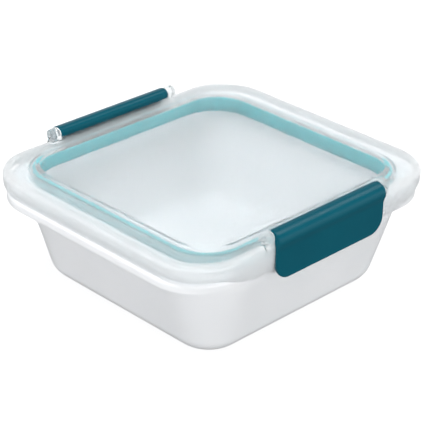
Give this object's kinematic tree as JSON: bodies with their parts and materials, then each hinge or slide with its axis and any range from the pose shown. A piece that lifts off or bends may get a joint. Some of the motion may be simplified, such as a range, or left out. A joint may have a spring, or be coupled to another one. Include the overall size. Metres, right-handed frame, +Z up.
{
  "type": "snap lid food container",
  "caption": "Square plastic food container with a translucent sunk-panel lid, a soft sealing ring and a swing-up snap latch on two opposite sides.",
  "frame": {"origin": "centre of the tub's underside, on the surface it stands on", "axes": "+Z up, X along the latches, the front latch on the -Y side and the rear latch on the +Y side"},
  "size_m": [0.1858, 0.1766, 0.0746],
  "materials": {
    "white_plastic": "satin opaque white moulded plastic",
    "frosted_plastic": "translucent frosted moulded plastic",
    "aqua_silicone": "soft matt aqua silicone",
    "teal_plastic": "fine satin dark teal moulded plastic"
  },
  "bodies": {
    "base": {"base_tub": "white_plastic"},
    "lid": {"lid_shell": "frosted_plastic", "seal_ring": "aqua_silicone"},
    "front_latch": {"front_latch": "teal_plastic"},
    "rear_latch": {"rear_latch": "teal_plastic"}
  },
  "joints": [
    {"name": "lid_lift", "type": "slide", "parent": "base", "child": "lid", "axis": [0, 0, 1], "range_m": [0, 0.08]},
    {"name": "front_latch_hinge", "type": "hinge", "parent": "lid", "child": "front_latch", "pos_m": [0, -0.0817, 0.071], "axis": [-1, 0, 0], "range_deg": [0, 120]},
    {"name": "rear_latch_hinge", "type": "hinge", "parent": "lid", "child": "rear_latch", "pos_m": [0, 0.0817, 0.071], "axis": [1, 0, 0], "range_deg": [0, 120]}
  ]
}
